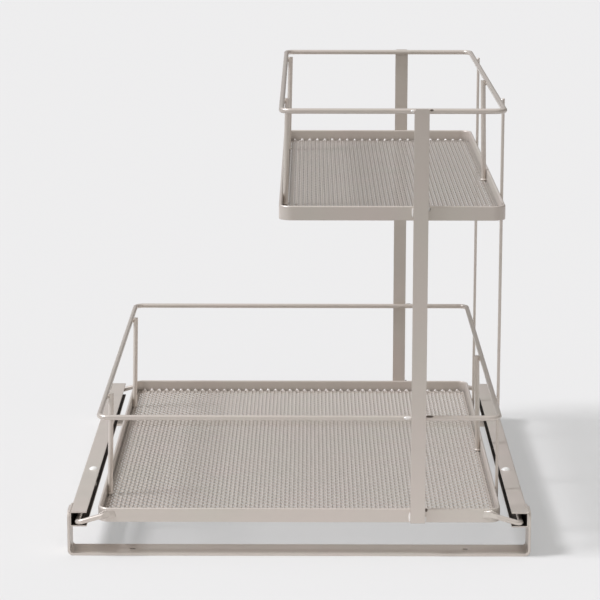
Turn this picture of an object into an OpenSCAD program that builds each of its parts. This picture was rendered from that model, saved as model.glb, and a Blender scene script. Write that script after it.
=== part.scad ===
// Pull out cabinet basket with two mesh trays. A low frame screwed to the cabinet floor carries two
// C section channels. The basket is one welded assembly that slides forward on two round rods in them.
// Front is -Y, up is +Z, and the origin is on the floor at the centre of the footprint.

/* [Trays] */
// Width of the lower tray over its rim
lower_w = 320; // [260:2:400]
// Width of the upper tray over its rim
upper_w = 176; // [130:2:220]
// Depth of both trays over their rims
tray_d = 435; // [350:5:530]
// Height of the lower rim's underside above the cabinet floor
lower_z = 28; // [27:0.5:32]
// Height of the upper rim's underside above the cabinet floor
upper_z = 270.8; // [200:0.1:330]
// Height of a guard rail's centre line above the underside of its rim
guard_h = 84.8; // [60:0.1:105]

/* [Rims and mesh floors] */
// Height of a rim
rim_h = 11.2; // [9:0.1:14]
// Thickness of a rim's hemmed wall
rim_t = 2.4; // [1.8:0.1:3]
// Width of the ledge that carries the mesh
ledge_w = 4; // [3:0.1:5]
// Thickness of the ledge
ledge_t = 1.2; // [1:0.1:1.6]
// Outside corner radius of the rims and the rails
corner_r = 10; // [9:0.5:16]
// Thickness of the mesh floors
mesh_t = 1.2; // [1:0.1:2]
// Width of one diamond of the mesh
cell_w = 14; // [12:0.1:30]
// Length of one diamond of the mesh, front to back
cell_l = 17.6; // [15:0.1:36]
// Width of a strand of the mesh
strand_w = 2.2; // [1.5:0.1:3]
// Gap round the edge of the mesh, inside the rim
mesh_gap = 0.3; // [0.1:0.1:0.6]

/* [Rods, bars and wires] */
// Diameter of the rails, the posts and the runners
rod_d = 4.2; // [3.4:0.1:5.2]
// Diameter of the two upright side wires
wire_d = 2.5; // [2:0.1:3.4]
// Width of the two flat bars that carry the upper tray
bar_w = 11.5; // [8:0.5:16]
// Thickness of the flat bars
bar_t = 3; // [2:0.1:3.6]
// Distance of the flat bars from the right side of the trays
bar_inset = 66; // [40:1:120]
// Distance of the side wires from the front and the back of the trays
side_wire_inset = 67.5; // [30:0.5:120]
// Left post of the lower tray, distance from the tray's front
lower_front_post = 73.5; // [30:0.5:150]
// Left post of the lower tray, distance from the tray's back
lower_rear_post = 67.5; // [30:0.5:150]
// Left post of the upper tray, distance from the tray's front
upper_front_post = 64.5; // [30:0.5:150]
// Left post of the upper tray, distance from the tray's back
upper_rear_post = 65; // [30:0.5:150]
// Right post of the lower tray, how far it stands in front of the middle
lower_right_post_y = 5; // [0:1:60]
// Right post of the upper tray, how far it stands in front of the middle
upper_right_post_y = 28; // [0:1:60]
// Gap left at each welded contact
weld_gap = 0.1; // [0.05:0.05:0.3]

/* [Base frame] */
// Gap between the lower rim and the edge of a channel
side_gap = 8.7; // [6:0.1:14]
// Height of the channels' underside above the floor
channel_z = 23.9; // [15:0.1:24.5]
// Height of a channel
channel_h = 12.2; // [11.5:0.1:16]
// Width of a channel's flanges
flange_w = 13.3; // [12.5:0.1:20]
// Thickness of the channel sheet
channel_t = 1.2; // [1:0.1:1.5]
// Inside bend radius of the channel sheet
channel_bend_r = 0.3; // [0.1:0.1:1.2]
// How far the ends of a channel stand back from the ends of the trays
channel_setback = 0.5; // [0.5:0.1:6]
// Length of the guide lip that is bent down from the left channel's upper flange
lip_l = 6; // [4:0.5:10]
// Depth of the guide lip below the top of the channel
lip_h = 4.5; // [3:0.1:5]
// Distance of the guide lip from the front of the trays
lip_inset = 91.5; // [60:0.5:110]
// Width of a strap, front to back
strap_w = 25; // [18:1:40]
// Thickness of a strap
strap_t = 2; // [1.6:0.1:3]
// Outside bend radius of a strap
strap_bend_r = 4.5; // [3.5:0.1:6]
// Radius of the corners at the top of a strap's legs
leg_corner_r = 6; // [2:0.5:8]
// Distance of the screw holes from the outside of the base
screw_inset = 51; // [30:1:90]
// Diameter of the screw holes
screw_hole_d = 4.5; // [4:0.1:6]

/* [Runners and glides] */
// Distance from the outside of a channel to the centre line of its runner
runner_inset = 6; // [5:0.1:7]
// Gap under a runner
runner_gap = 0.5; // [0.3:0.1:0.8]
// Radius of the bend at each corner of a runner
runner_bend_r = 5; // [4:0.5:7]
// Length of the pressed tip at each end of a runner
tip_l = 7; // [5:0.5:8]
// Width of a pressed tip at its end
tip_w = 7.8; // [6:0.1:8]
// Thickness of a pressed tip at its end
tip_t = 1.8; // [1.4:0.1:2.4]
// Radius of the corners of a pressed tip
tip_corner_r = 1; // [0.5:0.1:1.5]
// How far the tip's end lies outside the straight part of the lower rim's front
tip_out = 1; // [0:0.1:2]
// Depth of the middle of the tip's end below the top of the lower rim
tip_drop = 4.2; // [4.1:0.1:4.6]
// Gap between a pressed tip and the front of the lower rim
tip_gap = 0.2; // [0.2:0.05:0.3]
// Distance of a glide from the front of the trays
glide_inset = 127.5; // [115:0.5:160]
// Distance from the outside of a channel to the middle of a glide's head and stem
head_inset = 8.4; // [7.5:0.1:9]
// Diameter of a glide's domed head
head_d = 7.8; // [6.5:0.1:9]
// Height of the domed head
head_h = 2; // [1.5:0.1:2.6]
// Diameter of a glide's stem
stem_d = 4.6; // [3.6:0.1:5.4]
// Gap round the stem in its hole
stem_gap = 0.2; // [0.1:0.05:0.4]
// Length of a glide's shoe, front to back
shoe_l = 9; // [6:0.5:14]
// Width of a glide's shoe
shoe_w = 9; // [7:0.5:9]
// Distance from the outside of a channel to the middle of a glide's shoe
shoe_inset = 7.4; // [6.5:0.1:8]
// Gap between a shoe and the runner under it
shoe_gap = 0.3; // [0.3:0.05:0.6]

/* [Hidden] */
$fn = 48;

LEFT = -1;
RIGHT = 1;
FRONT = -1;
REAR = 1;
CUT = 1;                                  // how far a cutting shape runs past the surface it cuts
press_lead = 0.4;                         // the press face starts this far in front of the rod
PAINT = "#BAB4AA";
NYLON = "#EEEDE8";

rod_r = rod_d / 2;
wire_r = wire_d / 2;
right_x = lower_w / 2;                    // right side of both trays
end_y = tray_d / 2;                       // front and back of both trays
upper_x = right_x - upper_w / 2;          // middle of the upper tray
upper_left_x = right_x - upper_w;         // left side of the upper tray
upper_rail_z = upper_z + guard_h;
bar_x = right_x - bar_inset;
bar_top_z = upper_rail_z + rod_r;

channel_x = right_x + side_gap + flange_w;    // outside face of a channel's web
base_x = channel_x + strap_t;                 // outside face of a strap's leg
channel_top_z = channel_z + channel_h;
flange_under_z = channel_top_z - channel_t;
channel_l = tray_d - 2 * channel_setback;
strap_y = end_y - strap_w / 2;
screw_x = base_x - screw_inset;

runner_x = channel_x - runner_inset;
runner_z = channel_z + channel_t + runner_gap + rod_r;
runner_end_y = end_y + weld_gap + rod_r;
head_x = channel_x - head_inset;
shoe_under_z = runner_z + rod_r + shoe_gap;
glide_y = glide_inset - end_y;

// ---------- helpers ----------

// A rectangle with round corners at its lower end only, standing on y = 0.
module round_foot_box(w, h, r) {
    translate([-w / 2, r]) square([w, h - r]);
    translate([-w / 2 + r, 0]) square([w - 2 * r, r]);
    for (x = [-1, 1]) translate([x * (w / 2 - r), r]) circle(r);
}

// A rectangle with round corners at its upper end only, standing on y = 0.
module round_top_box(w, h, r) {
    translate([0, h]) mirror([0, 1]) round_foot_box(w, h, r);
}

// Sweeps a profile round a rectangle with round corners. The profile's x is the distance inwards
// from the outline and its y is the height.
module frame_sweep(w, d, r) {
    for (side = [0, 1]) {
        span = side == 0 ? d : w;
        reach = side == 0 ? w : d;
        for (turn = [0, 180])
            rotate([0, 0, 90 * side + turn]) translate([reach / 2, span / 2 - r, 0])
                rotate([90, 0, 0]) linear_extrude(span - 2 * r) mirror([1, 0]) children();
    }
    for (x = [-1, 1], y = [-1, 1])
        translate([x * (w / 2 - r), y * (d / 2 - r), 0])
            rotate([0, 0, y > 0 ? (x > 0 ? 0 : 90) : (x < 0 ? 180 : 270)])
                rotate_extrude(angle = 90) translate([r, 0]) mirror([1, 0]) children();
}

// A straight rod between two points.
module rod(a, b, r) {
    run = b - a;
    translate(a)
        rotate([0, acos(run[2] / norm(run)), atan2(run[1], run[0])])
            cylinder(h = norm(run), r = r);
}

// ---------- base frame ----------

// Section of a channel: x runs inwards from the outside of the web, y runs up.
module channel_section() {
    difference() {
        rotate([0, 0, -90]) translate([-channel_h / 2, 0])
            round_foot_box(channel_h, flange_w, channel_bend_r + channel_t);
        translate([channel_t, channel_t]) rotate([0, 0, -90]) translate([channel_t - channel_h / 2, 0])
            round_foot_box(channel_h - 2 * channel_t, flange_w, channel_bend_r);
    }
}

module channel(side) {
    color(PAINT) difference() {
        union() {
            translate([side * channel_x, channel_l / 2, channel_z]) rotate([90, 0, 0])
                linear_extrude(channel_l) mirror([side > 0 ? 1 : 0, 0]) channel_section();
            if (side == LEFT)
                translate([flange_w - channel_x - channel_t / 2, lip_inset - end_y,
                           channel_top_z - lip_h / 2])
                    cube([channel_t, lip_l, lip_h], center = true);
        }
        translate([side * head_x, glide_y, flange_under_z - CUT])
            cylinder(h = channel_t + 2 * CUT, d = stem_d + 2 * stem_gap);
    }
}

module strap(end) {
    color(PAINT) translate([0, end * strap_y, 0]) difference() {
        intersection() {
            translate([0, strap_w / 2, 0]) rotate([90, 0, 0]) linear_extrude(strap_w) difference() {
                round_foot_box(2 * base_x, channel_top_z, strap_bend_r);
                translate([0, strap_t])
                    round_foot_box(2 * channel_x, channel_top_z, strap_bend_r - strap_t);
            }
            translate([-base_x, 0, 0]) rotate([90, 0, 90]) linear_extrude(2 * base_x)
                round_top_box(strap_w, channel_top_z, leg_corner_r);
        }
        for (side = [LEFT, RIGHT])
            translate([side * screw_x, 0, -CUT]) cylinder(h = strap_t + 2 * CUT, d = screw_hole_d);
    }
}

// The head and stem hold the glide in the flange, and its shoe lies over the runner. The dome is a cap
// of the sphere that passes through the head's rim and its top.
module glide(side) {
    dome_r = (head_d * head_d / 4 + head_h * head_h) / (2 * head_h);
    color(NYLON) translate([side * head_x, glide_y, 0]) {
        intersection() {
            translate([0, 0, channel_top_z + head_h - dome_r]) sphere(dome_r);
            translate([0, 0, channel_top_z]) cylinder(h = head_h, d = head_d);
        }
        translate([0, 0, flange_under_z]) cylinder(h = channel_t, d = stem_d);
        translate([side * (head_inset - shoe_inset) - shoe_w / 2, -shoe_l / 2, shoe_under_z])
            cube([shoe_w, shoe_l, flange_under_z - shoe_under_z]);
    }
}

// ---------- basket ----------

// Outline of a runner's pressed tip. It flares from the rod's width at x = 0 to its end at x = tip_l.
module tip_outline() {
    half = tip_w / 2;
    shoulder = tip_l - tip_corner_r;
    polygon([[0, -rod_r], [shoulder, -half], [shoulder, half], [0, rod_r]]);
    translate([shoulder, tip_corner_r - half]) square([tip_corner_r, tip_w - 2 * tip_corner_r]);
    for (y = [-1, 1]) translate([shoulder, y * (half - tip_corner_r)]) circle(tip_corner_r);
}

// The front half of the right runner. It bends inwards and rises on a slope to the corner of the lower
// rim, where its end is pressed flat and lies against the rim's front. Inside the rotation, x runs up
// the slope from the straight part's centre line and z runs towards the front.
module half_runner() {
    tip = [right_x - corner_r + tip_out, lower_z + rim_h - tip_drop];
    rise = [runner_x - tip[0], tip[1] - runner_z];
    slope = atan2(rise[1], rise[0]);
    straight_l = runner_end_y - runner_bend_r;
    press_x = norm(rise) - tip_l;
    press_z = end_y + tip_gap + tip_t;
    translate([runner_x, 0, runner_z]) rotate([90, 0, 0]) rotate([0, 0, 180 - slope]) {
        cylinder(h = straight_l, r = rod_r);
        translate([runner_bend_r, 0, straight_l]) rotate([90, 0, 0]) mirror([1, 0, 0])
            rotate_extrude(angle = 90) translate([runner_bend_r, 0]) circle(rod_r);
        translate([runner_bend_r, 0, runner_end_y]) rotate([0, 90, 0])
            cylinder(h = press_x - runner_bend_r, r = rod_r);
        translate([press_x, 0, 0]) {
            intersection() {
                translate([0, 0, runner_end_y]) rotate([0, 90, 0]) cylinder(h = tip_l, r = rod_r);
                translate([0, rod_d, 0]) rotate([90, 0, 0]) linear_extrude(2 * rod_d)
                    polygon([[0, end_y - CUT], [tip_l, end_y - CUT], [tip_l, press_z],
                             [0, runner_end_y + rod_r + press_lead]]);
            }
            translate([0, 0, end_y + tip_gap]) linear_extrude(tip_t) tip_outline();
        }
    }
}

module runner(side) {
    color(PAINT) mirror([side < 0 ? 1 : 0, 0, 0]) for (end = [0, 1]) mirror([0, end, 0]) half_runner();
}

// Section of a rim: a wall with a rounded hem at the top and a ledge at the bottom.
module rim_section() {
    hem_r = rim_t / 2;
    square([rim_t, rim_h - hem_r]);
    translate([hem_r, rim_h - hem_r]) circle(hem_r);
    square([rim_t + ledge_w, ledge_t]);
}

module rim(x, z, w) {
    color(PAINT) translate([x, 0, z]) frame_sweep(w, tray_d, corner_r) rim_section();
}

module rail(x, z, w) {
    color(PAINT) translate([x, 0, z]) frame_sweep(w, tray_d, corner_r)
        translate([rod_r, 0]) circle(rod_r);
}

// One opening of the mesh: the cell's diamond less half a strand on each side.
module diamond(w, l) {
    shrink = 1 - strand_w * norm([w, l]) / (w * l);
    polygon([[w * shrink / 2, 0], [0, l * shrink / 2], [-w * shrink / 2, 0], [0, -l * shrink / 2]]);
}

// A mesh floor seated on its rim's ledge, with a plain edge as wide as the ledge. Whole and half
// diamonds fill the window inside that edge, every second row moved by half a diamond.
module mesh_floor(x, z, w) {
    plate_w = w - 2 * (rim_t + mesh_gap);
    plate_d = tray_d - 2 * (rim_t + mesh_gap);
    window_w = plate_w - 2 * ledge_w;
    window_d = plate_d - 2 * ledge_w;
    columns = round(window_w / cell_w);
    rows = round(window_d / cell_l);
    step_x = window_w / columns;
    step_y = window_d / rows;
    color(PAINT) translate([x, 0, z + ledge_t]) linear_extrude(mesh_t) difference() {
        plate_corners(plate_w, plate_d, corner_r - rim_t - mesh_gap);
        intersection() {
            square([window_w, window_d], center = true);
            for (i = [0 : 2 * columns], j = [0 : 2 * rows])
                if ((i + j) % 2 == 1)
                    translate([i * step_x / 2 - window_w / 2, j * step_y / 2 - window_d / 2])
                        diamond(step_x, step_y);
        }
    }
}

// A rectangle with round corners.
module plate_corners(w, d, r) {
    square([w - 2 * r, d], center = true);
    square([w, d - 2 * r], center = true);
    for (i = [-1, 1], j = [-1, 1]) translate([i * (w / 2 - r), j * (d / 2 - r)]) circle(r);
}

// An upright between a mesh floor and its rail. The foot leans against the rim's wall and the top
// against the inside of the rail. edge_x is the tray's side and inwards points into the tray.
module post(edge_x, inwards, y, z) {
    foot_in = rim_t + rod_r + weld_gap;
    top_in = rod_d + rod_r + weld_gap;
    foot = [edge_x + inwards * foot_in, y, z + ledge_t + mesh_t + weld_gap];
    top = [edge_x + inwards * top_in, y, z + guard_h + rod_r];
    color(PAINT) rod(foot, top, rod_r);
}

module bar(end) {
    back_y = end * (end_y + weld_gap + bar_t / 2);
    color(PAINT) translate([bar_x, back_y + bar_t / 2, lower_z]) rotate([90, 0, 0])
        linear_extrude(bar_t) round_top_box(bar_w, bar_top_z - lower_z, bar_t / 2);
}

// The wire stands outside both trays, and its round top lies against the outside of the upper rail.
module side_wire(end) {
    wire_x = right_x + weld_gap + wire_r;
    wire_y = end * (end_y - side_wire_inset);
    foot = [wire_x, wire_y, lower_z + ledge_t];
    top = [wire_x, wire_y, upper_rail_z + rod_r - wire_r];
    color(PAINT) {
        rod(foot, top, wire_r);
        translate(top) sphere(wire_r);
    }
}

// ---------- nodes ----------

channel(LEFT);  // left_channel
channel(RIGHT);  // right_channel
strap(FRONT);  // front_strap
strap(REAR);  // rear_strap
glide(LEFT);  // left_glide
glide(RIGHT);  // right_glide

runner(LEFT);  // left_runner
runner(RIGHT);  // right_runner

rim(0, lower_z, lower_w);  // lower_rim
mesh_floor(0, lower_z, lower_w);  // lower_mesh
rail(0, lower_z + guard_h, lower_w);  // lower_rail
post(-right_x, RIGHT, lower_front_post - end_y, lower_z);  // lower_front_left_post
post(-right_x, RIGHT, end_y - lower_rear_post, lower_z);  // lower_rear_left_post
post(right_x, LEFT, -lower_right_post_y, lower_z);  // lower_right_post

bar(FRONT);  // front_bar
bar(REAR);  // rear_bar

rim(upper_x, upper_z, upper_w);  // upper_rim
mesh_floor(upper_x, upper_z, upper_w);  // upper_mesh
rail(upper_x, upper_rail_z, upper_w);  // upper_rail
post(upper_left_x, RIGHT, upper_front_post - end_y, upper_z);  // upper_front_left_post
post(upper_left_x, RIGHT, end_y - upper_rear_post, upper_z);  // upper_rear_left_post
post(right_x, LEFT, -upper_right_post_y, upper_z);  // upper_right_post
side_wire(FRONT);  // front_side_wire
side_wire(REAR);  // rear_side_wire
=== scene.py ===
"""Looks of the pull out cabinet basket: fine mesh floors, welds, coating, light and camera."""
import math

import bpy
from mathutils import Matrix, Vector


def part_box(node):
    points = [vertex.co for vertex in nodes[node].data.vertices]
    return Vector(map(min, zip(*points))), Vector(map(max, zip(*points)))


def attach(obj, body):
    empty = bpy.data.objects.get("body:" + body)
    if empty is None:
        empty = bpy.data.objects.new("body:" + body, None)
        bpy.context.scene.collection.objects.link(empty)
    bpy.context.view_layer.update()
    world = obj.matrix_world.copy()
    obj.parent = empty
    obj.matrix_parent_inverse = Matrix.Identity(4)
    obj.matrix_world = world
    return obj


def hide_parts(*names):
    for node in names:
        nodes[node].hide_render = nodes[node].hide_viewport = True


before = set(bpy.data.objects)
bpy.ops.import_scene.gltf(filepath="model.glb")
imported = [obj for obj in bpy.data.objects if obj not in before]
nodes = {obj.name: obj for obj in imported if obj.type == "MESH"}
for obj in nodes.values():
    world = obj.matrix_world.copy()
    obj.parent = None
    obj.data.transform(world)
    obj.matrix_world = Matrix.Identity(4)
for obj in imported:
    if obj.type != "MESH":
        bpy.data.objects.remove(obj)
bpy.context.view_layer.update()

MM = 0.001

# ---------------------------------------------------------------- camera, as the photograph's
CAMERA_AT = Vector((7.87, -2123.87, 601.49)) * MM
CAMERA_PITCH = math.radians(11.665)      # looking down
CAMERA_YAW = math.radians(-0.219)        # to the right of +Y
CAMERA_ROLL = math.radians(-0.059)
IMAGE_SIZE = 600                         # pixels, both ways
FOCAL_PX = 2500
SENSOR = 36.0                            # mm
CLIP_NEAR, CLIP_FAR = 0.05, 100          # metres


def make_camera():
    """The camera stands where the photograph's did, with the same field of view."""
    data = bpy.data.cameras.new("camera")
    data.sensor_width = SENSOR
    data.lens = FOCAL_PX / IMAGE_SIZE * SENSOR
    data.clip_start = CLIP_NEAR
    data.clip_end = CLIP_FAR
    cam = bpy.data.objects.new("camera", data)
    forward = Vector((math.sin(CAMERA_YAW) * math.cos(CAMERA_PITCH),
                      math.cos(CAMERA_YAW) * math.cos(CAMERA_PITCH), -math.sin(CAMERA_PITCH)))
    level_right = Vector((math.cos(CAMERA_YAW), -math.sin(CAMERA_YAW), 0))
    level_down = forward.cross(level_right)
    right = level_right * math.cos(CAMERA_ROLL) + level_down * math.sin(CAMERA_ROLL)
    down = level_down * math.cos(CAMERA_ROLL) - level_right * math.sin(CAMERA_ROLL)
    turn = Matrix((right, -down, -forward)).transposed()
    cam.matrix_world = Matrix.Translation(CAMERA_AT) @ turn.to_4x4()
    bpy.context.scene.collection.objects.link(cam)
    bpy.context.scene.camera = cam


# ---------------------------------------------------------------- node helpers
def new_material(name):
    """A new material with its node tree and its shader."""
    mat = bpy.data.materials.new(name)
    mat.use_nodes = True
    tree = mat.node_tree
    return mat, tree, tree.nodes["Principled BSDF"]


def add(tree, kind, **values):
    """Adds a node. A value is set on the input socket of that name, or else on the node itself."""
    node = tree.nodes.new(kind)
    for key, value in values.items():
        if key in node.inputs:
            node.inputs[key].default_value = value
        else:
            setattr(node, key, value)
    return node


def feed(tree, socket, value):
    """Sets a socket to a number, or links another socket to it."""
    if isinstance(value, (int, float)):
        socket.default_value = value
    else:
        tree.links.new(value, socket)


def compute(tree, operation, *values):
    """The result of a math node. Each value is a socket or a number."""
    node = add(tree, "ShaderNodeMath", operation=operation)
    for socket, value in zip(node.inputs, values):
        feed(tree, socket, value)
    return node.outputs["Value"]


def remap(tree, source, low, high, start=0.0, end=1.0):
    """Goes from low to high as source goes from start to end."""
    node = add(tree, "ShaderNodeMapRange")
    settings = {"Value": source, "From Min": start, "From Max": end, "To Min": low, "To Max": high}
    for name, value in settings.items():
        feed(tree, node.inputs[name], value)
    return node.outputs["Result"]


def between(tree, value, low, high, soft):
    """A mask socket: 1 where value lies between low and high, with soft edges."""
    rise = remap(tree, value, 0.0, 1.0, low - soft, low + soft)
    fall = remap(tree, value, 0.0, 1.0, high + soft, high - soft)
    return compute(tree, "MULTIPLY", rise, fall)


def noise(tree, scale, detail, roughness=0.5):
    """A noise socket that is fixed to its piece."""
    place = add(tree, "ShaderNodeTexCoord")
    grain = add(tree, "ShaderNodeTexNoise", Scale=scale, Detail=detail, Roughness=roughness)
    tree.links.new(place.outputs["Object"], grain.inputs["Vector"])
    return grain.outputs["Fac"]


def ramp_between(tree, source, low, high, start=0.3, end=0.7):
    """A colour ramp from low to high, driven by source."""
    ramp = tree.nodes.new("ShaderNodeValToRGB")
    for element, place, color in zip(ramp.color_ramp.elements, (start, end), (low, high)):
        element.position = place
        element.color = list(color) + [1]
    tree.links.new(source, ramp.inputs["Fac"])
    return ramp.outputs["Color"]


def blend_colors(tree, factor, a, b):
    """Mixes colour sockets a and b by a factor socket."""
    mix = add(tree, "ShaderNodeMix", data_type="RGBA")
    tree.links.new(factor, mix.inputs["Factor"])
    tree.links.new(a, mix.inputs["A"])
    tree.links.new(b, mix.inputs["B"])
    return mix.outputs["Result"]


def set_surface(tree, shader, color, roughness, metallic=0.0):
    """Gives the shader its colour and roughness sockets and its metallic number."""
    tree.links.new(color, shader.inputs["Base Color"])
    tree.links.new(roughness, shader.inputs["Roughness"])
    shader.inputs["Metallic"].default_value = metallic


def set_relief(tree, shader, height, strength, distance, normal=None):
    """Bumps the surface by height, on top of normal where one is given."""
    bump = add(tree, "ShaderNodeBump", Strength=strength, Distance=distance)
    tree.links.new(height, bump.inputs["Height"])
    if normal is not None:
        tree.links.new(normal, bump.inputs["Normal"])
    tree.links.new(bump.outputs["Normal"], shader.inputs["Normal"])


def shaded(color, shade):
    """The colour made lighter or darker by a factor."""
    return [c * shade for c in color]


# ---------------------------------------------------------------- materials
COAT_PINK = (0.655, 0.580, 0.532)
COAT_GREY = (0.634, 0.584, 0.524)
CLOUD_LIGHT, CLOUD_DARK = 1.02, 0.96     # lightness of the coat's clouds
CLOUD_GLOSS = (-0.06, 0.07)              # what the clouds add to the coat's roughness
SHEEN_METALLIC = 0.3
EDGE_RADIUS = 0.35 * MM                  # sharp edges catch the light as if rounded by this
EDGE_SAMPLES = 4
PEEL = 0.14                              # strength of the orange peel
PEEL_DEPTH = 0.1 * MM

CORNER_SHADE_DEEP, CORNER_SHADE_SOFT = 0.45, 0.54     # how much of the coat's tone the painted corner shade leaves
CORNER_SHADE_REACH = 9 * MM
CORNER_SHADE_OPENNESS = (0.35, 0.92)            # of a corner: where the painted shade is full, and where it ends
CORNER_SHADE_SAMPLES = 6

# Painted shade: a dark colour inside the slide channels, where shade falls.
CHANNEL_SHADE_DARK = (0.030, 0.025, 0.021)
CHANNEL_SHADE_LIGHTER = 1.9                        # lightness where the painted shade is thin
CHANNEL_INSIDE_ROUGHNESS = 0.62
CHANNEL_INSIDE_OUT = (168.8 * MM, 180.95 * MM)   # inside of a channel, out from the frame's middle
CHANNEL_INSIDE_UP = (24.88 * MM, 35.12 * MM)     # inside of a channel, up from the floor
CHANNEL_SHADE_EDGE = 0.12 * MM                  # softness of the painted shade's edge

CREST = (0.70, 0.90)                     # shares of a mesh floor's height: the crests' painted highlight begins, and is full
MESH_GLOSS = (0.28, 0.44)
MESH_RELIEF, MESH_RELIEF_DEPTH = 0.2, 0.2 * MM

# painted highlight: the weld colours are raised towards white
WELD_DULL, WELD_HIGHLIGHT = (0.78, 0.74, 0.71), (0.95, 0.93, 0.91)
WELD_GLOSS = (0.16, 0.34)
WELD_METALLIC = 0.25
WELD_RELIEF, WELD_RELIEF_DEPTH = 0.25, 0.2 * MM

# painted shadow colours for the gaps beside welds
GAP_SHADOW_DARK, GAP_SHADOW_LIGHT = (0.07, 0.055, 0.045), (0.19, 0.155, 0.13)
GAP_SHADOW_GLOSS = (0.45, 0.7)

NYLON_DULL, NYLON_WHITE = (0.78, 0.765, 0.73), (0.90, 0.89, 0.86)
NYLON_GLOSS = (0.28, 0.42)
NYLON_RELIEF, NYLON_RELIEF_DEPTH = 0.15, 0.15 * MM
NYLON_DEPTH = 4 * MM                     # how far light spreads under the nylon's surface
NYLON_SPREAD = 0.15                      # how much of the light does


def coat_tones(tree, drift, shade):
    """The coat's drift from its greyer to its pinker tone, at one lightness."""
    return ramp_between(tree, drift, shaded(COAT_GREY, shade), shaded(COAT_PINK, shade))


def coated_metal(name, roughness=0.36, metallic=SHEEN_METALLIC, shade=1.0, edge=EDGE_RADIUS,
                 peel=PEEL, channel_shade=False):
    """Satin nickel coating: drifts of a pinker and a greyer tone, uneven gloss and an orange peel.

    Inner corners are darkened by ambient occlusion as painted shade. With channel_shade, the insides of
    the slide channels are also painted dark as painted shade, marked out by the channels' place.
    """
    mat, tree, shader = new_material(name)
    drift = noise(tree, scale=17.0, detail=2.0)
    clouds = noise(tree, scale=70.0, detail=4.0, roughness=0.6)
    fine = noise(tree, scale=900.0, detail=2.0)
    light = coat_tones(tree, drift, shade * CLOUD_LIGHT)
    dark = coat_tones(tree, drift, shade * CLOUD_DARK)
    color = blend_colors(tree, clouds, dark, light)
    # painted shade: inner corners are darkened by ambient occlusion
    corner = add(tree, "ShaderNodeAmbientOcclusion", samples=CORNER_SHADE_SAMPLES, only_local=True,
                 Distance=CORNER_SHADE_REACH)
    unshaded = remap(tree, corner.outputs["AO"], 0.0, 1.0, *CORNER_SHADE_OPENNESS)
    corner_shade = ramp_between(tree, clouds, shaded(COAT_GREY, shade * CORNER_SHADE_DEEP),
                         shaded(COAT_PINK, shade * CORNER_SHADE_SOFT))
    color = blend_colors(tree, unshaded, corner_shade, color)
    rough = remap(tree, clouds, roughness + CLOUD_GLOSS[0], roughness + CLOUD_GLOSS[1])
    # painted shade: the insides of the slide channels are painted dark
    if channel_shade:
        spot = add(tree, "ShaderNodeSeparateXYZ")
        tree.links.new(add(tree, "ShaderNodeTexCoord").outputs["Object"], spot.inputs["Vector"])
        out = compute(tree, "ABSOLUTE", spot.outputs["X"])
        inside = compute(tree, "MULTIPLY", between(tree, out, *CHANNEL_INSIDE_OUT, CHANNEL_SHADE_EDGE),
                         between(tree, spot.outputs["Z"], *CHANNEL_INSIDE_UP, CHANNEL_SHADE_EDGE))
        channel_dark = ramp_between(tree, clouds, CHANNEL_SHADE_DARK, shaded(CHANNEL_SHADE_DARK, CHANNEL_SHADE_LIGHTER))
        color = blend_colors(tree, inside, color, channel_dark)
        rough = remap(tree, inside, rough, CHANNEL_INSIDE_ROUGHNESS)
    set_surface(tree, shader, color, rough, metallic)
    soften = add(tree, "ShaderNodeBevel", samples=EDGE_SAMPLES, Radius=edge)
    set_relief(tree, shader, fine, peel, PEEL_DEPTH, soften.outputs["Normal"])
    return mat


def mesh_metal(name, shade, crest_shade):
    """The coat on a fine mesh. Its crests are painted lighter than its hollows as a painted highlight.
    """
    mat, tree, shader = new_material(name)
    drift = noise(tree, scale=22.0, detail=3.0, roughness=0.6)
    grit = noise(tree, scale=420.0, detail=2.0, roughness=0.6)
    height = add(tree, "ShaderNodeSeparateXYZ")
    tree.links.new(add(tree, "ShaderNodeTexCoord").outputs["Generated"], height.inputs["Vector"])
    # painted highlight: the top of each strand is made lighter
    crest = remap(tree, height.outputs["Z"], 0.0, 1.0, *CREST)
    crest_highlight = coat_tones(tree, drift, shade * crest_shade)
    hollow_tone = coat_tones(tree, drift, shade)
    coat = blend_colors(tree, crest, hollow_tone, crest_highlight)
    set_surface(tree, shader, blend_colors(tree, grit, hollow_tone, coat), remap(tree, grit, *MESH_GLOSS),
                SHEEN_METALLIC)
    set_relief(tree, shader, grit, MESH_RELIEF, MESH_RELIEF_DEPTH)
    return mat


def weld_metal_highlighted(name):
    """Bare metal at the welds, rippled and a little scaled. Its colour is raised towards white as a
    painted highlight.
    """
    mat, tree, shader = new_material(name)
    scale = noise(tree, scale=700.0, detail=3.0, roughness=0.6)
    set_surface(tree, shader, ramp_between(tree, scale, WELD_DULL, WELD_HIGHLIGHT),
                remap(tree, scale, *WELD_GLOSS), WELD_METALLIC)
    set_relief(tree, shader, scale, WELD_RELIEF, WELD_RELIEF_DEPTH)
    return mat


def gap_shadow_metal(name):
    """Painted shadow: a dark patch in the gap beside a weld, where shade falls."""
    mat, tree, shader = new_material(name)
    shadow_grain = noise(tree, scale=900.0, detail=3.0)
    set_surface(tree, shader, ramp_between(tree, shadow_grain, GAP_SHADOW_DARK, GAP_SHADOW_LIGHT),
                remap(tree, shadow_grain, *GAP_SHADOW_GLOSS), SHEEN_METALLIC)
    return mat


def nylon(name):
    """White moulded nylon, slightly translucent and a little mottled."""
    mat, tree, shader = new_material(name)
    mottle = noise(tree, scale=220.0, detail=3.0)
    set_surface(tree, shader, ramp_between(tree, mottle, NYLON_DULL, NYLON_WHITE),
                remap(tree, mottle, *NYLON_GLOSS))
    set_relief(tree, shader, mottle, NYLON_RELIEF, NYLON_RELIEF_DEPTH)
    shader.inputs["Subsurface Weight"].default_value = NYLON_SPREAD
    shader.inputs["Subsurface Radius"].default_value = (NYLON_DEPTH, NYLON_DEPTH, NYLON_DEPTH)
    shader.inputs["Subsurface Scale"].default_value = 1.0
    return mat


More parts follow.
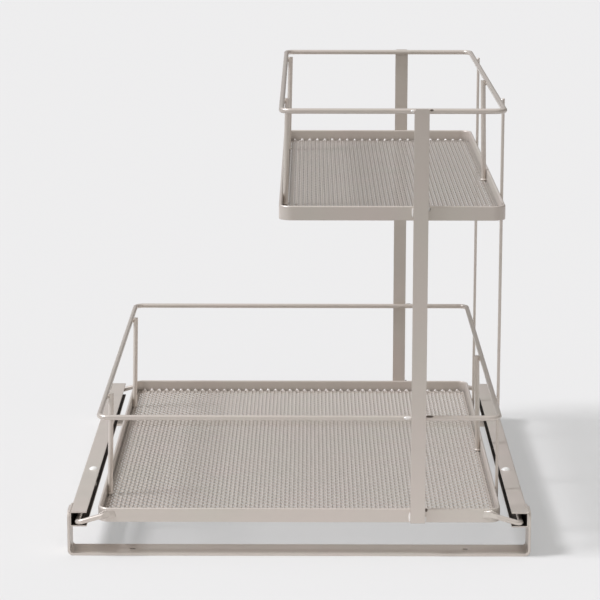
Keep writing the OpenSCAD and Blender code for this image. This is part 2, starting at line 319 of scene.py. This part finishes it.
# ---------------------------------------------------------------- mesh helpers
def mesh_piece(name, verts, faces, material, body, smooth=True):
    """Makes a visible piece that rides on body, in the given material."""
    data = bpy.data.meshes.new(name)
    data.from_pydata([tuple(v) for v in verts], [], faces)
    data.validate()
    data.update()
    if smooth:
        data.shade_smooth()
    obj = bpy.data.objects.new(name, data)
    obj.data.materials.append(material)
    bpy.context.scene.collection.objects.link(obj)
    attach(obj, body)
    return obj


def add_tube(verts, faces, rings):
    """Joins rings of the same number of corners to one closed piece."""
    size, first = len(rings[0]), len(verts)
    for ring in rings:
        verts.extend(ring)
    for i in range(len(rings) - 1):
        a, b = first + size * i, first + size * (i + 1)
        for j in range(size):
            k = (j + 1) % size
            faces.append((a + k, a + j, b + j, b + k))
    last = first + size * (len(rings) - 1)
    faces.append(tuple(range(first, first + size)))
    faces.append(tuple(range(last + size - 1, last - 1, -1)))


# ---------------------------------------------------------------- mesh floors
PITCH_X = 7.0 * MM                       # short way of a diamond
PITCH_Y = 8.8 * MM                       # long way of a diamond
LEDGE = 3.9 * MM                         # width of the rim's ledge under the edge of a floor
LEDGE_ROOM = 1.0 * MM                    # bonds this close to the ledge aren't pressed down either
PLATE_CORNER_R = 7.3 * MM                # corners of a floor, inside its rim

STRAND_W = 1.25 * MM
STRAND_SWAY = 0.3 * MM                   # how far a strand swings towards the bonds on either side
STRAND_LIFT = 0.01 * MM                  # each second strand lies this much higher, so no faces coincide
STRAND_FOOT = 0.3                        # height of a strand's underside in mm
# Corners of a strand's section: across as a share of its width, and the height in mm.
STRAND_SECTION = ((-0.5, 0.3), (0.5, 0.3), (0.46, 0.62), (0.12, 1.13), (-0.2, 1.19), (-0.5, 0.72))

BOND_L = 3.0 * MM                        # front to back length of the bond between two strands
BOND_DROP = 0.75                         # how far a bond's front lip may dip, in mm
BOND_THICK = 0.3                         # least thickness of a bond, in mm
# A bond from front to back: place as a share of its length, half width in mm, top and underside in mm.
BOND_SECTION = ((0.0, 0.8, -0.38, -0.75), (0.4, 1.2, 0.42, -0.05), (1.0, 0.7, 0.55, 0.2))


def corner_cut(distance):
    """How much shorter a strand is at each end, for its distance from the side of the floor."""
    if distance >= PLATE_CORNER_R:
        return 0.0
    return PLATE_CORNER_R - math.sqrt(PLATE_CORNER_R ** 2 - (PLATE_CORNER_R - distance) ** 2)


def strand_rings(middle, foot, stops, low, high, ridge):
    """Sections of one strand. It swings to one side or the other at each stop."""
    rings = []
    for y, swing in stops:
        ring = []
        for across, up in STRAND_SECTION:
            x = middle + swing * STRAND_SWAY + across * STRAND_W
            z = foot + (STRAND_FOOT + (up - STRAND_FOOT) * ridge) * MM
            ring.append((min(max(x, low.x), high.x), y, z))
        rings.append(ring)
    return rings


def bond_rings(seam, y, foot, lowest, bond_crest):
    """Sections of the bond around (seam, y), none of them below lowest."""
    rings = []
    for share, half, top, under in BOND_SECTION:
        at = y + (share - 0.5) * BOND_L
        top, under = max(top, lowest + BOND_THICK), max(under, lowest)
        middle_top = ((0.0, top + bond_crest),) if bond_crest else ()
        outline = ((-half, under), (half, under), (half, top), *middle_top, (-half, top))
        rings.append([(seam + x * MM, at, foot + z * MM) for x, z in outline])
    return rings


def expanded_sheet(low, high, ridge, bond_crest):
    """Vertices and faces of an expanded metal floor that fills the box from low to high.

    Ridged strands run from front to back side by side. Bonds join each to the strand on its left and
    then to the one on its right, which leaves staggered slots open. A bond's front lip is pressed down.
    ridge scales how far the strands' ridges stand up. bond_crest is how far a bond's middle does, in mm.
    """
    width, depth = high.x - low.x, high.y - low.y
    count = round(width / (PITCH_X / 2))
    step_x = width / count
    halves = round(depth / (PITCH_Y / 2))
    step_y = depth / halves
    verts, faces = [], []
    for strand in range(count):
        middle = low.x + (strand + 0.5) * step_x
        edge = min(middle - low.x, high.x - middle) - STRAND_W / 2
        cut = corner_cut(max(edge, 0.0))
        first_y, last_y = low.y + cut, high.y - cut
        swings = [(low.y + (k + 0.5) * step_y, 1 if (k + strand) % 2 == 0 else -1)
                  for k in range(halves)]
        stops = [(y, swing) for y, swing in swings if first_y < y < last_y]
        stops = [(first_y, stops[0][1])] + stops + [(last_y, stops[-1][1])]
        foot = low.z + (strand % 2) * STRAND_LIFT
        add_tube(verts, faces, strand_rings(middle, foot, stops, low, high, ridge))
        if strand + 1 == count:
            continue
        seam = middle + step_x / 2
        for y, swing in swings:
            inside = first_y < y - BOND_L / 2 and y + BOND_L / 2 < last_y
            if swing < 0 or not inside:
                continue
            to_side = min(seam - low.x, high.x - seam, y - BOND_L / 2 - low.y, high.y - y)
            lowest = 0.0 if to_side < LEDGE + LEDGE_ROOM else -BOND_DROP
            add_tube(verts, faces, bond_rings(seam, y, low.z, lowest, bond_crest))
    return verts, faces


def mesh_floor(node, material, ridge, bond_crest):
    """The fine mesh in place of a CAD floor, whose diamonds are twice as large."""
    low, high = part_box(node)
    verts, faces = expanded_sheet(low, high, ridge, bond_crest)
    piece = mesh_piece(node + "_expanded", verts, faces, material, "basket", smooth=False)
    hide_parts(node)


NUB_W, NUB_D, NUB_H = 3.0 * MM, 1.4 * MM, 1.95 * MM
NUB_AROUND = 8
NUB_LEVELS = ((1.0, 0.0), (0.95, 0.35), (0.72, 0.72), (0.36, 0.94))   # share of the width, of the height
NUB_TURN = 12.9898                       # radians from nub to nub in the wave that makes them uneven
NUB_SHIFT = 0.2 * MM                     # the most that the wave moves a nub sideways
NUB_WIDER, NUB_TALLER = 0.06, 0.05       # the most that it adds to a nub, as a share
NUB_GAP = 0.1 * MM                       # from a nub to the back edge of the floor
NUB_SEAT = 0.2 * MM                      # height of a nub's foot over the floor's underside


def add_nub(verts, faces, at, w, d, h):
    """A rounded nub, where the end of a bond is welded down."""
    first = len(verts)
    for share, up in NUB_LEVELS:
        for i in range(NUB_AROUND):
            turn = math.tau * i / NUB_AROUND
            verts.append((at[0] + math.cos(turn) * w / 2 * share, at[1] + math.sin(turn) * d / 2 * share,
                          at[2] + h * up))
    verts.append((at[0], at[1], at[2] + h))
    for level in range(len(NUB_LEVELS) - 1):
        for i in range(NUB_AROUND):
            j = (i + 1) % NUB_AROUND
            a, b = first + NUB_AROUND * level, first + NUB_AROUND * (level + 1)
            faces.append((a + i, a + j, b + j, b + i))
    top = first + NUB_AROUND * len(NUB_LEVELS)
    last = top - NUB_AROUND
    for i in range(NUB_AROUND):
        faces.append((last + i, last + (i + 1) % NUB_AROUND, top))
    faces.append(tuple(range(first + NUB_AROUND - 1, first - 1, -1)))


def bond_ends(node, material):
    """The row of weld nubs along the back edge of a mesh floor, one on each second strand."""
    low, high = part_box(node)
    count = round((high.x - low.x) / PITCH_X)
    step = (high.x - low.x) / count
    verts, faces = [], []
    for k in range(1, count):
        wave = math.sin(NUB_TURN * k)
        at = (low.x + k * step + wave * NUB_SHIFT, high.y - NUB_D / 2 - NUB_GAP, low.z + NUB_SEAT)
        add_nub(verts, faces, at, NUB_W * (1 + NUB_WIDER * wave), NUB_D, NUB_H * (1 + NUB_TALLER * wave))
    mesh_piece(node + "_bond_ends", verts, faces, material, "basket")


# ---------------------------------------------------------------- weld beads
# A bead: its middle, then its width, depth and height, all in mm. Those of the bars, the side wires and
# the painted weld shadows are at the front end, and weld_piece repeats them at the back.
BAR_BEADS = (
    ((87.8, -218.0, 32.5), (2.0, 1.8, 8.0)), ((100.1, -218.0, 31.0), (1.6, 1.4, 5.0)),
    ((85.4, -217.0, 113.2), (7.0, 2.6, 2.8)), ((87.0, -217.0, 355.6), (4.0, 2.6, 2.8)),
    ((87.8, -218.0, 277.0), (1.9, 1.7, 7.5)), ((100.1, -218.0, 280.0), (1.5, 1.4, 4.0)),
)
WIRE_BEADS = (
    ((160.2, -150.0, 355.6), (2.6, 4.4, 3.6)), ((160.6, -150.0, 276.0), (2.2, 4.2, 6.0)),
    ((160.6, -150.0, 34.0), (2.2, 4.2, 6.0)), ((160.2, -150.0, 112.8), (2.0, 4.2, 3.2)),
)
POST_BEADS = (
    ((-155.4, -144.0, 30.6), (6.6, 6.2, 2.8)), ((-155.4, 150.0, 30.6), (6.4, 6.4, 2.6)),
    ((155.4, -5.0, 30.6), (6.6, 6.2, 2.8)), ((-11.4, -153.0, 273.4), (6.4, 6.2, 2.8)),
    ((-11.4, 152.5, 273.4), (6.2, 6.4, 2.6)), ((155.4, -28.0, 273.4), (6.6, 6.2, 2.8)),
    ((-155.8, -144.0, 112.0), (2.4, 4.6, 3.4)), ((-155.8, 150.0, 112.0), (2.4, 4.4, 3.4)),
    ((155.8, -5.0, 112.0), (2.4, 4.6, 3.4)), ((-11.8, -153.0, 355.0), (2.4, 4.6, 3.4)),
    ((-11.8, 152.5, 355.0), (2.4, 4.4, 3.4)), ((155.8, -28.0, 355.0), (2.4, 4.6, 3.4)),
)
# painted shadows: dark patches in the gaps beside the bar's welds, where shade falls
WELD_GAP_SHADOWS = (
    ((102.6, -216.5, 114.2), (6.8, 2.6, 1.8)), ((101.4, -216.7, 356.4), (3.6, 2.4, 1.8)),
    ((100.6, -217.7, 279.6), (1.5, 1.0, 2.8)), ((100.8, -217.7, 38.2), (2.0, 1.0, 3.0)),
)
BEAD_AROUND, BEAD_LEVELS = 12, 7
BEAD_RIPPLE = 0.07                       # as a share of a bead's size
RIPPLES_AROUND, RIPPLES_UP = 3, 2


def add_bead(verts, faces, at, size):
    """A lump of weld metal: an ellipsoid whose surface ripples a little."""
    first = len(verts)
    for level in range(1, BEAD_LEVELS):
        up = math.pi * level / BEAD_LEVELS
        for i in range(BEAD_AROUND):
            turn = math.tau * i / BEAD_AROUND
            wave = math.sin(RIPPLES_AROUND * turn + at[0]) * math.sin(RIPPLES_UP * up + at[1])
            ripple = 1 + BEAD_RIPPLE * wave
            verts.append(((at[0] + size[0] / 2 * math.sin(up) * math.cos(turn) * ripple) * MM,
                          (at[1] + size[1] / 2 * math.sin(up) * math.sin(turn) * ripple) * MM,
                          (at[2] + size[2] / 2 * math.cos(up)) * MM))
    verts.append((at[0] * MM, at[1] * MM, (at[2] + size[2] / 2) * MM))
    verts.append((at[0] * MM, at[1] * MM, (at[2] - size[2] / 2) * MM))
    top, bottom = len(verts) - 2, len(verts) - 1
    for i in range(BEAD_AROUND):
        j = (i + 1) % BEAD_AROUND
        faces.append((first + i, first + j, top))
        for level in range(BEAD_LEVELS - 2):
            a, b = first + BEAD_AROUND * level, first + BEAD_AROUND * (level + 1)
            faces.append((a + j, a + i, b + i, b + j))
        last = first + BEAD_AROUND * (BEAD_LEVELS - 2)
        faces.append((last + j, last + i, bottom))


def weld_piece(name, beads, material, both_ends):
    """One piece of all the beads, and of their mirror images at the back if both_ends."""
    verts, faces = [], []
    for at, size in beads:
        add_bead(verts, faces, at, size)
        if both_ends:
            add_bead(verts, faces, (at[0], -at[1], at[2]), size)
    mesh_piece(name, verts, faces, material, "basket")


# ---------------------------------------------------------------- welds at the runners' tips
# The end of a runner's pressed tip on the face of the lower rim, and the weld metal that runs off it.
TIP_X, TIP_Z = 151.0 * MM, 35.0 * MM
TIP_SLOPE = math.radians(16.4)
TIP_HALF = 3.7 * MM                      # half the width of the tip's end
TIP_PROUD = 2.0 * MM                     # how far the tip stands off the rim
RUN_OFF = 5.5 * MM                       # length of the weld past the tip's end
RUN_OFF_DROP = 0.12                      # how far that weld sinks for each step along the rim
RUN_OFF_TAPER = 0.25                     # share of its width that it loses over its length
RUN_OFF_SKIN = 0.03 * MM                 # how proud it still is where it ends
RUN_OFF_ROOT = 0.3 * MM                  # how far it reaches into the rim
RUN_OFF_STEPS = (-0.12, 0.0, 0.12, 0.28, 0.46, 0.66, 0.84, 1.0)
RUN_OFF_RINGS = 12


def run_off_line(across):
    """The weld's section along the rim: steps along, and how proud the metal is at each.

    It falls in an S curve from the tip's end, and it rounds off towards across = -1 and 1.
    """
    swell = math.sqrt(1 - across ** 4)
    line = []
    for t in RUN_OFF_STEPS:
        past = max(t, 0)
        fall = 1 - past ** 2 * (3 - 2 * past)
        line.append((t, TIP_PROUD * fall * swell + RUN_OFF_SKIN))
    return line + [(RUN_OFF_STEPS[-1], -RUN_OFF_ROOT), (RUN_OFF_STEPS[0], -RUN_OFF_ROOT)]


def tip_welds(material):
    """Weld metal from the end of each runner's pressed tip, falling gently to the face of the rim."""
    low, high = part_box("lower_rim")
    verts, faces = [], []
    for side in (-1, 1):
        for end, face in ((-1, low.y), (1, high.y)):
            rings = []
            for k in range(RUN_OFF_RINGS + 1):
                across = 2 * k / RUN_OFF_RINGS - 1
                ring = []
                for t, proud in run_off_line(across):
                    along, up = t * RUN_OFF, across * TIP_HALF * (1 - RUN_OFF_TAPER * max(t, 0))
                    ring.append((side * (TIP_X - along * math.cos(TIP_SLOPE) + up * math.sin(TIP_SLOPE)),
                                 face + end * proud,
                                 TIP_Z - along * RUN_OFF_DROP + up * math.cos(TIP_SLOPE)))
                if side * end > 0:
                    ring.reverse()
                rings.append(ring)
            add_tube(verts, faces, rings)
    mesh_piece("tip_welds", verts, faces, material, "basket")


# ---------------------------------------------------------------- seams of the base frame
# Corners of a seam's section: across and up, in mm.
SEAM_SECTION = ((-0.95, -0.4), (0.95, -0.4), (0.8, 0.08), (0.35, 0.26), (-0.35, 0.26), (-0.8, 0.08))
SEAM_RINGS = 16
SEAM_INSET = 0.01                        # share of the strap's width that a seam leaves free at each end
SEAM_RIPPLE = 0.08                       # as a share of a seam's size
SEAM_TURN = 2.4                          # radians from ring to ring in the ripple


def strap_seams(material):
    """Low weld seams over the joints between the channels and the ends of the straps."""
    channel_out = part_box("right_channel")[1].x
    verts, faces = [], []
    for strap in ("front_strap", "rear_strap"):
        low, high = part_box(strap)
        for side in (-1, 1):
            rings = []
            for k in range(SEAM_RINGS + 1):
                y = low.y + (high.y - low.y) * (SEAM_INSET + (1 - 2 * SEAM_INSET) * k / SEAM_RINGS)
                swell = 1 + SEAM_RIPPLE * math.sin(SEAM_TURN * k + side)
                rings.append([(side * channel_out + across * swell * MM, y, high.z + up * swell * MM)
                              for across, up in SEAM_SECTION])
            add_tube(verts, faces, rings)
    mesh_piece("strap_seams", verts, faces, material, "base")


# ---------------------------------------------------------------- stage
FLOOR_HALF = 40                          # metres from the middle to each side
FLOOR_ROUGHNESS, FLOOR_SPECULAR = 0.9, 0.1
BOUNCE_NEAR, BOUNCE_FAR = 0.44, 0.62     # where the bounce begins to fall and is least, in metres
BOUNCE_WHITE = (0.95, 0.95, 0.945)
BOUNCE_DARK = (0.10, 0.092, 0.085)
FLOOR_SEEN = (0.527, 0.503, 0.486, 1)    # the floor to the lens, which shows the shadows
FLOOR_LIFT = (0.222, 0.240, 0.252, 1)    # a glow added to it, which keeps the shadows pale


def floor_material():
    """The lens and reflections see the floor pale up to its far end. Light bounced onto the basket
    comes only from the part of it near by, as from a white sheet on a darker floor."""
    mat, tree, shader = new_material("studio_floor")
    link = tree.links.new
    shader.inputs["Roughness"].default_value = FLOOR_ROUGHNESS
    shader.inputs["Specular IOR Level"].default_value = FLOOR_SPECULAR
    far = add(tree, "ShaderNodeVectorMath", operation="LENGTH")
    link(add(tree, "ShaderNodeTexCoord").outputs["Object"], far.inputs[0])
    reach = remap(tree, far.outputs["Value"], 0.0, 1.0, BOUNCE_NEAR, BOUNCE_FAR)
    link(ramp_between(tree, reach, BOUNCE_WHITE, BOUNCE_DARK, 0, 1), shader.inputs["Base Color"])
    seen = add(tree, "ShaderNodeBsdfDiffuse", Color=FLOOR_SEEN)
    glow = add(tree, "ShaderNodeEmission", Color=FLOOR_LIFT, Strength=1.0)
    lifted = add(tree, "ShaderNodeAddShader")
    link(seen.outputs["BSDF"], lifted.inputs[0])
    link(glow.outputs["Emission"], lifted.inputs[1])
    ray = add(tree, "ShaderNodeLightPath")
    looked_at = compute(tree, "MAXIMUM", ray.outputs["Is Camera Ray"], ray.outputs["Is Glossy Ray"])
    looked_at = compute(tree, "MAXIMUM", looked_at, ray.outputs["Is Transmission Ray"])
    choice = add(tree, "ShaderNodeMixShader")
    link(looked_at, choice.inputs["Fac"])
    link(shader.outputs["BSDF"], choice.inputs[1])
    link(lifted.outputs["Shader"], choice.inputs[2])
    link(choice.outputs["Shader"], tree.nodes["Material Output"].inputs["Surface"])
    return mat


def make_stage():
    """A pale floor that runs past the frame on all sides."""
    data = bpy.data.meshes.new("floor")
    half = FLOOR_HALF
    data.from_pydata([(-half, -half, 0), (half, -half, 0), (half, half, 0), (-half, half, 0)], [],
                     [(0, 1, 2, 3)])
    floor = bpy.data.objects.new("floor", data)
    bpy.context.scene.collection.objects.link(floor)
    data.materials.append(floor_material())


# ---------------------------------------------------------------- light
SUN_ELEVATION = math.radians(49)
SUN_SIDE = 0.146                         # how far the shadows run back for each step to the right
SUN_ENERGY = 2.8
SUN_COLOR = (0.96, 1.0, 1.06)
SUN_SPREAD = math.radians(15)
SOFT_LIGHTS = (                          # broad soft lights: axis, side, power, colour
    ("Z", 1, 0.70, (1.0, 0.985, 0.975)),
    ("Y", -1, 0.31, (1.0, 0.93, 0.86)),
    ("Y", 1, 0.05, (1.0, 0.92, 0.84)),
    ("X", 1, 0.05, (1.0, 0.92, 0.84)),
)


def make_sun():
    """One broad lamp from the upper left."""
    sun = bpy.data.lights.new("key", "SUN")
    sun.energy = SUN_ENERGY
    sun.color = SUN_COLOR
    sun.angle = SUN_SPREAD
    obj = bpy.data.objects.new("key", sun)
    flat = Vector((1, SUN_SIDE, 0)).normalized()
    way = flat * math.cos(SUN_ELEVATION) - Vector((0, 0, 1)) * math.sin(SUN_ELEVATION)
    obj.rotation_mode = "QUATERNION"
    obj.rotation_quaternion = way.to_track_quat("-Z", "Y")
    bpy.context.scene.collection.objects.link(obj)


def make_world():
    """Soft light from a few sides. Each is full straight along its axis and fades to none across it."""
    world = bpy.data.worlds.new("studio")
    bpy.context.scene.world = world
    world.use_nodes = True
    tree = world.node_tree
    split = add(tree, "ShaderNodeSeparateXYZ")
    tree.links.new(add(tree, "ShaderNodeTexCoord").outputs["Generated"], split.inputs["Vector"])
    total = None
    for axis, side, power, color in SOFT_LIGHTS:
        facing = compute(tree, "MAXIMUM", compute(tree, "MULTIPLY", split.outputs[axis], side), 0.0)
        light = add(tree, "ShaderNodeVectorMath", operation="SCALE")
        light.inputs[0].default_value = shaded(color, power)
        tree.links.new(facing, light.inputs["Scale"])
        if total is None:
            total = light.outputs["Vector"]
        else:
            both = add(tree, "ShaderNodeVectorMath", operation="ADD")
            tree.links.new(total, both.inputs[0])
            tree.links.new(light.outputs["Vector"], both.inputs[1])
            total = both.outputs["Vector"]
    tree.links.new(total, tree.nodes["Background"].inputs["Color"])


# ---------------------------------------------------------------- the whole
def main():
    """Sets the scene, gives each CAD node its material and adds the pieces made here."""
    make_camera()
    make_stage()
    make_sun()
    make_world()
    coat = coated_metal("nickel_coat")
    rods = coated_metal("nickel_coat_rods", roughness=0.31, metallic=0.40, shade=1.02, peel=0.04)
    straps = coated_metal("nickel_coat_straps", edge=0.9 * MM)
    # this coat paints the insides of the channels dark as painted shade
    channel_shade = coated_metal("nickel_coat_painted_channel_shade", channel_shade=True)
    # lit and shaded copies of one mesh coat: the upper floor is painted darker as painted shade, the
    # lower one lighter as painted light
    lower_mesh_lit = mesh_metal("nickel_mesh_lower_painted_light", shade=0.87, crest_shade=1.16)
    upper_mesh_shaded = mesh_metal("nickel_mesh_upper_painted_shade", shade=0.67, crest_shade=1.08)
    # bare weld metal with a painted highlight
    weld_highlight = weld_metal_highlighted("weld_painted_highlight")
    finishes = {"glide": nylon("white_nylon"), "channel": channel_shade, "strap": straps, "rail": rods,
                "post": rods, "wire": rods, "runner": rods}
    for name, obj in nodes.items():
        obj.data.materials.clear()
        obj.data.materials.append(next((look for word, look in finishes.items() if word in name), coat))
    mesh_floor("lower_mesh", lower_mesh_lit, ridge=1.0, bond_crest=0.0)
    bond_ends("lower_mesh", weld_highlight)
    mesh_floor("upper_mesh", upper_mesh_shaded, ridge=0.55, bond_crest=0.24)
    bond_ends("upper_mesh", weld_highlight)
    weld_piece("bar_welds", BAR_BEADS, weld_highlight, both_ends=True)
    weld_piece("wire_welds", WIRE_BEADS, weld_highlight, both_ends=True)
    tip_welds(coat)
    weld_piece("post_welds", POST_BEADS, coat, both_ends=False)
    strap_seams(coat)
    # painted shadows beside the bar welds
    weld_piece("painted_weld_shadows", WELD_GAP_SHADOWS, gap_shadow_metal("painted_weld_shadow_coat"), both_ends=True)
    bpy.context.scene.view_settings.view_transform = "Standard"


main()
